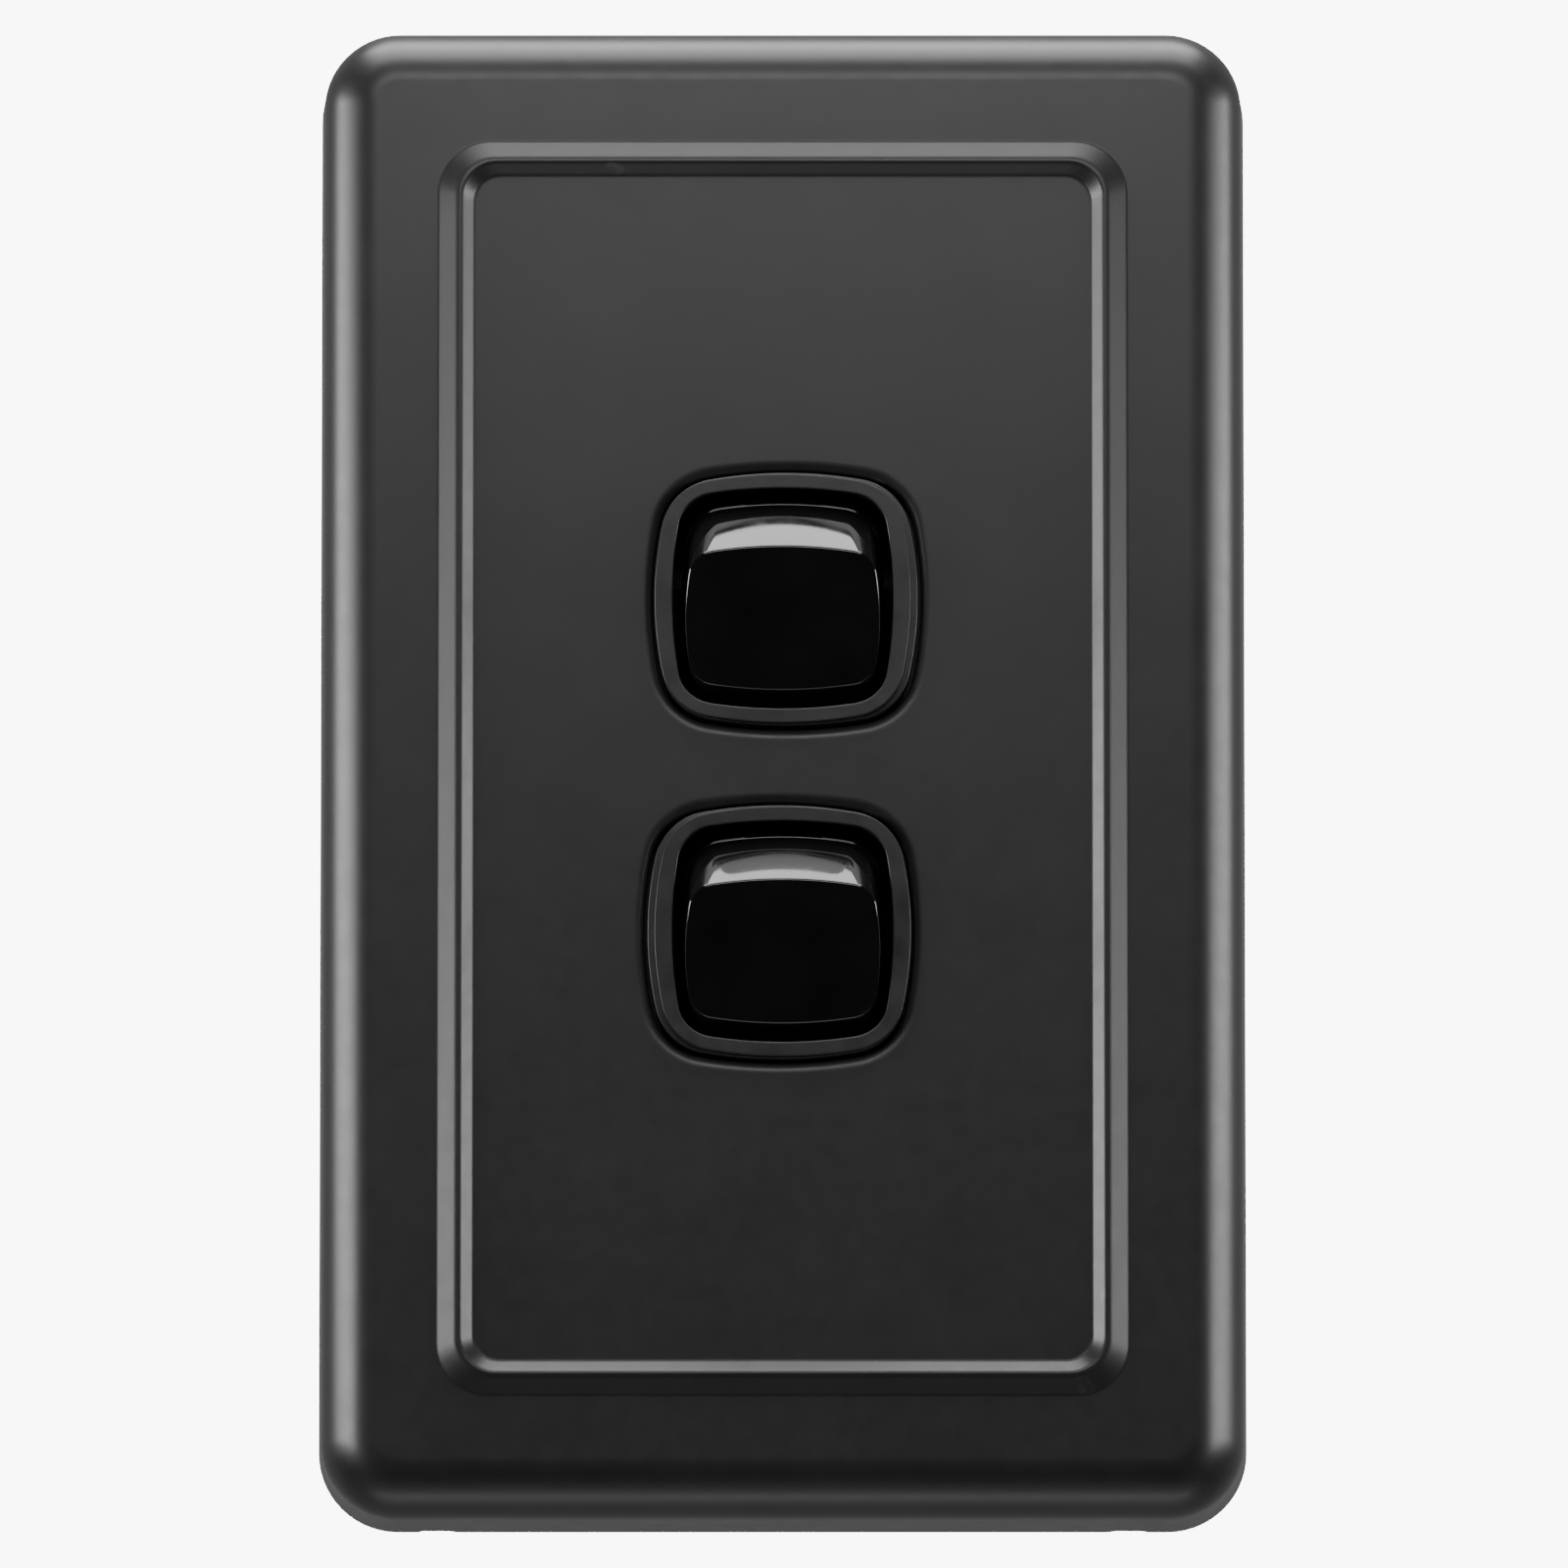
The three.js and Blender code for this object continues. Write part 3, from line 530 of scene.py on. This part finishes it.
class Shader:
    """A procedural material under construction, in object space so that it stays on the part."""

    def __init__(self, name, roughness, metallic=0.0):
        self.material = bpy.data.materials.new(name)
        self.material.use_nodes = True
        self.tree = self.material.node_tree
        self.surface = self.tree.nodes["Principled BSDF"]
        self.surface.inputs["Roughness"].default_value = roughness
        self.surface.inputs["Metallic"].default_value = metallic
        self.surface.inputs["IOR"].default_value = 1.5
        self.place = self.tree.nodes.new("ShaderNodeTexCoord").outputs["Object"]

    def noise(self, size_mm, detail=2.0, roughness=0.5, stretch=None):
        """Noise whose features are about size_mm across, stretched along an axis if asked."""
        place = self.place
        if stretch:
            mapping = self.tree.nodes.new("ShaderNodeMapping")
            mapping.inputs["Scale"].default_value = stretch
            self.tree.links.new(place, mapping.inputs["Vector"])
            place = mapping.outputs["Vector"]
        node = self.tree.nodes.new("ShaderNodeTexNoise")
        node.inputs["Scale"].default_value = 1 / (size_mm * MM)
        node.inputs["Detail"].default_value = detail
        node.inputs["Roughness"].default_value = roughness
        self.tree.links.new(place, node.inputs["Vector"])
        return node.outputs["Fac"]

    def spread(self, value, low, high, start=0.0, end=1.0):
        """Maps a value between start and end to low and high."""
        node = self.tree.nodes.new("ShaderNodeMapRange")
        for socket, number in (("From Min", start), ("From Max", end), ("To Min", low), ("To Max", high)):
            node.inputs[socket].default_value = number
        self.tree.links.new(value, node.inputs["Value"])
        return node.outputs["Result"]

    def ramp(self, value, stops):
        """Colours a value: stops are (position, (r, g, b))."""
        node = self.tree.nodes.new("ShaderNodeValToRGB")
        elements = node.color_ramp.elements
        while len(elements) < len(stops):
            elements.new(0.5)
        for element, (position, colour) in zip(elements, stops):
            element.position = position
            element.color = (*colour, 1)
        self.tree.links.new(value, node.inputs["Fac"])
        return node.outputs["Color"]

    def blend(self, share, first, second):
        """Mixes two colours by a share."""
        node = self.tree.nodes.new("ShaderNodeMix")
        node.data_type = "RGBA"
        self.tree.links.new(share, node.inputs["Factor"])
        self.tree.links.new(first, node.inputs["A"])
        self.tree.links.new(second, node.inputs["B"])
        return node.outputs["Result"]

    def wear(self, size_mm):
        """1 along worn edges, 0 elsewhere, broken up by noise."""
        geometry = self.tree.nodes.new("ShaderNodeNewGeometry")
        edge = self.spread(geometry.outputs["Pointiness"], 0, 1, 0.53, 0.6)
        node = self.tree.nodes.new("ShaderNodeMath")
        node.operation = "MULTIPLY"
        self.tree.links.new(edge, node.inputs[0])
        self.tree.links.new(self.spread(self.noise(size_mm), 0, 1, 0.4, 0.7), node.inputs[1])
        return node.outputs["Value"]

    def bump(self, layers):
        """Stacks bumps: each layer is (height, strength, distance in mm)."""
        normal = None
        for height, strength, distance in layers:
            node = self.tree.nodes.new("ShaderNodeBump")
            node.inputs["Strength"].default_value = strength
            node.inputs["Distance"].default_value = distance * MM
            self.tree.links.new(height, node.inputs["Height"])
            if normal:
                self.tree.links.new(normal, node.inputs["Normal"])
            normal = node.outputs["Normal"]
        self.tree.links.new(normal, self.surface.inputs["Normal"])

    def feed(self, socket, value):
        self.tree.links.new(value, self.surface.inputs[socket])


def once(build):
    """Makes a material the first time it is asked for, and gives the same one afterwards."""
    kept = {}

    def get():
        if "material" not in kept:
            kept["material"] = build()
        return kept["material"]
    return get


@once
def powder_coat():
    shader = Shader("powder_coat", roughness=0.36)
    tone = shader.ramp(shader.noise(9, 3),
                       [(0.3, (0.0085, 0.0086, 0.009)), (0.7, (0.0115, 0.0115, 0.0118))])
    bare = shader.ramp(shader.noise(0.6), [(0.3, (0.02, 0.02, 0.021)), (0.7, (0.04, 0.039, 0.038))])
    shader.feed("Base Color", shader.blend(shader.wear(0.8), tone, bare))
    shader.feed("Roughness", shader.spread(shader.noise(1.4, 3), 0.355, 0.39, 0.3, 0.7))
    shader.bump([(shader.noise(1.3, 2), 0.12, 0.01), (shader.noise(0.28, 2), 0.2, 0.003)])
    return shader.material


def moulded(name, dark, light, roughness, grain_mm):
    """Moulded plastic: a faint flow of colour, uneven gloss, fine grain and scuffed edges."""
    shader = Shader(name, roughness=roughness)
    tone = shader.ramp(shader.noise(6, 3), [(0.3, dark), (0.7, light)])
    scuffed = shader.ramp(shader.noise(0.4), [(0.3, light), (0.7, tuple(min(c * 1.7, 1) for c in light))])
    shader.feed("Base Color", shader.blend(shader.wear(0.5), tone, scuffed))
    gloss = shader.spread(shader.noise(2, 4), roughness * 0.85, roughness * 1.15, 0.3, 0.7)
    shader.feed("Roughness", gloss)
    shader.bump([(shader.noise(grain_mm, 3), 0.25, 0.01)])
    return shader.material


@once
def collar_plastic():
    return moulded("collar_plastic", (0.009, 0.009, 0.0094), (0.0125, 0.0125, 0.013), 0.36, 0.35)


@once
def rocker_plastic():
    shader = Shader("rocker_plastic", roughness=0.06)
    tone = shader.ramp(shader.noise(5, 2), [(0.3, (0.0035, 0.0035, 0.0037)), (0.7, (0.005, 0.005, 0.0052))])
    dust = shader.ramp(shader.noise(0.3), [(0.4, (0.006, 0.006, 0.006)), (0.8, (0.02, 0.02, 0.02))])
    shader.feed("Base Color", shader.blend(shader.wear(0.4), tone, dust))
    shader.feed("Roughness", shader.spread(shader.noise(1.6, 4), 0.04, 0.085, 0.3, 0.75))
    shader.bump([(shader.noise(3.5, 1), 0.1, 0.01)])
    return shader.material


@once
def base_plastic():
    return moulded("base_plastic", (0.028, 0.028, 0.03), (0.038, 0.038, 0.04), 0.55, 0.4)


@once
def rear_plastic():
    return moulded("rear_plastic", (0.04, 0.04, 0.043), (0.055, 0.055, 0.058), 0.5, 0.3)


@once
def plunger_nylon():
    return moulded("plunger_nylon", (0.68, 0.65, 0.56), (0.76, 0.74, 0.66), 0.45, 0.3)


def metal(name, dark, light, roughness, brushed, tarnish):
    """Metal with drawn marks along one axis and patches of tarnish."""
    shader = Shader(name, roughness=roughness, metallic=1.0)
    clean = shader.ramp(shader.noise(1.5, 3), [(0.3, dark), (0.7, light)])
    dull = shader.ramp(shader.noise(0.5, 3), [(0.35, tarnish), (0.7, dark)])
    patches = shader.spread(shader.noise(3.5, 4, 0.6), 0, 0.8, 0.5, 0.75)
    shader.feed("Base Color", shader.blend(patches, clean, dull))
    gloss = shader.spread(shader.noise(0.8, 4), roughness * 0.75, roughness * 1.35, 0.3, 0.7)
    shader.feed("Roughness", gloss)
    shader.bump([(shader.noise(0.25, 3, stretch=brushed), 0.3, 0.006), (shader.noise(1.2, 2), 0.15, 0.01)])
    return shader.material


@once
def terminal_brass():
    return metal("terminal_brass", (0.55, 0.38, 0.14), (0.72, 0.53, 0.24),
                 0.3, (1, 0.1, 1), (0.3, 0.19, 0.08))


@once
def contact_silver():
    return metal("contact_silver", (0.62, 0.61, 0.58), (0.78, 0.77, 0.74),
                 0.22, (1, 1, 0.3), (0.35, 0.33, 0.3))


@once
def screw_steel():
    return metal("screw_steel", (0.48, 0.48, 0.49), (0.66, 0.66, 0.67),
                 0.28, (1, 0.15, 1), (0.3, 0.29, 0.27))


@once
def spring_steel():
    return metal("spring_steel", (0.4, 0.4, 0.41), (0.58, 0.58, 0.58),
                 0.25, (0.2, 1, 1), (0.25, 0.24, 0.23))


FINISHES = {
    "base_plastic": (base_plastic, 0.18),
    "rear_plastic": (rear_plastic, 0.15),
    "plunger_nylon": (plunger_nylon, 0.05),
    "terminal_brass": (terminal_brass, 0.08),
    "contact_silver": (contact_silver, 0.1),
    "screw_steel": (screw_steel, 0.08),
}


def finish_cad_nodes():
    """Every CAD node that still shows gets its material, and edges broken by a small bevel."""
    for row in frame["record"]["subparts"]:
        if row["material_slot"] not in FINISHES:
            continue
        material, bevel = FINISHES[row["material_slot"]]
        node = NODES[row["node"]]
        node.data.materials.clear()
        node.data.materials.append(material())
        weld = node.modifiers.new("weld", "WELD")
        weld.merge_threshold = 0.001 * MM
        if bevel:
            edges = node.modifiers.new("edges", "BEVEL")
            edges.width = bevel * MM
            edges.segments = 2
            edges.limit_method = "ANGLE"
            edges.angle_limit = math.radians(40)
        smooth(node, 35)
        keep_flats_flat(node)


# ---------------------------------------------------------------- camera, floor and light

CAMERA = {"elevation": -9, "distance": 2000, "lens": 607.6, "aim": (0.1, -4, -0.5)}
FLOOR_Z = -1200


def make_camera():
    camera = bpy.data.objects.new("camera", bpy.data.cameras.new("camera"))
    camera.data.lens = CAMERA["lens"]
    camera.data.clip_start = 0.05
    elevation = math.radians(CAMERA["elevation"])
    away = Vector((0, -math.cos(elevation), math.sin(elevation)))
    camera.location = (Vector(CAMERA["aim"]) + away * CAMERA["distance"]) * MM
    camera.rotation_euler = (-away).to_track_quat("-Z", "Y").to_euler()
    bpy.context.scene.collection.objects.link(camera)
    bpy.context.scene.camera = camera


def make_floor():
    floor = closed_loft("floor", [rounded_rect(1200, 1200, 60, y, 1, 1, 12) for y in (0, 6)])
    floor.data.transform(Matrix.Translation((0, 0, FLOOR_Z * MM)) @ Matrix.Rotation(math.pi / 2, 4, "X"))
    shader = Shader("floor", roughness=0.7)
    tone = shader.ramp(shader.noise(60, 2), [(0.3, (0.9, 0.9, 0.9)), (0.7, (0.93, 0.93, 0.93))])
    shader.feed("Base Color", tone)
    floor.data.materials.append(shader.material)


def softbox(name, centre, aim, width, height, watts):
    """A rectangular area light; places and sizes are in millimetres."""
    light = bpy.data.lights.new(name, "AREA")
    light.shape = "RECTANGLE"
    light.size = width * MM
    light.size_y = height * MM
    light.energy = watts
    lamp = bpy.data.objects.new(name, light)
    lamp.location = Vector(centre) * MM
    lamp.rotation_euler = (Vector(aim) - Vector(centre)).to_track_quat("-Z", "Z").to_euler()
    bpy.context.scene.collection.objects.link(lamp)


def make_world():
    """A pale surround behind the part, dim on the room side; the eye always sees it pale."""
    world = bpy.data.worlds.new("studio")
    bpy.context.scene.world = world
    world.use_nodes = True
    nodes, links = world.node_tree.nodes, world.node_tree.links
    background = nodes["Background"]
    direction = nodes.new("ShaderNodeTexCoord").outputs["Generated"]
    split = nodes.new("ShaderNodeSeparateXYZ")
    links.new(direction, split.inputs["Vector"])
    fade = nodes.new("ShaderNodeMapRange")
    fade.interpolation_type = "SMOOTHSTEP"
    for socket, number in (("From Min", -0.35), ("From Max", 0.6), ("To Min", 0.006), ("To Max", 0.38)):
        fade.inputs[socket].default_value = number
    links.new(split.outputs["Y"], fade.inputs["Value"])
    seen = nodes.new("ShaderNodeLightPath").outputs["Is Camera Ray"]
    mix = nodes.new("ShaderNodeMix")
    mix.inputs["B"].default_value = 9
    links.new(seen, mix.inputs["Factor"])
    links.new(fade.outputs["Result"], mix.inputs["A"])
    links.new(mix.outputs["Result"], background.inputs["Color"])


def make_lights():
    softbox("overhead_back", (0, 40, 520), (0, 0, 0), 520, 210, 4.2)
    softbox("overhead_front", (0, -170, 500), (0, 0, 0), 520, 210, 2.5)
    softbox("key", (0, -350, 175), (0, 0, 20), 220, 70, 0.42)
    softbox("low_card", (0, -60, -310), (0, 0, -50), 300, 60, 0.13)
    softbox("left_strip", (-520, -180, 60), (0, 0, 0), 120, 500, 4)
    softbox("right_strip", (520, -160, 60), (0, 0, 0), 110, 500, 3)


make_camera()
make_floor()
make_cover()
for gang in GANGS:
    make_front_housing(gang)
    make_rocker(gang)
    make_spring(gang)
finish_cad_nodes()
make_world()
make_lights()
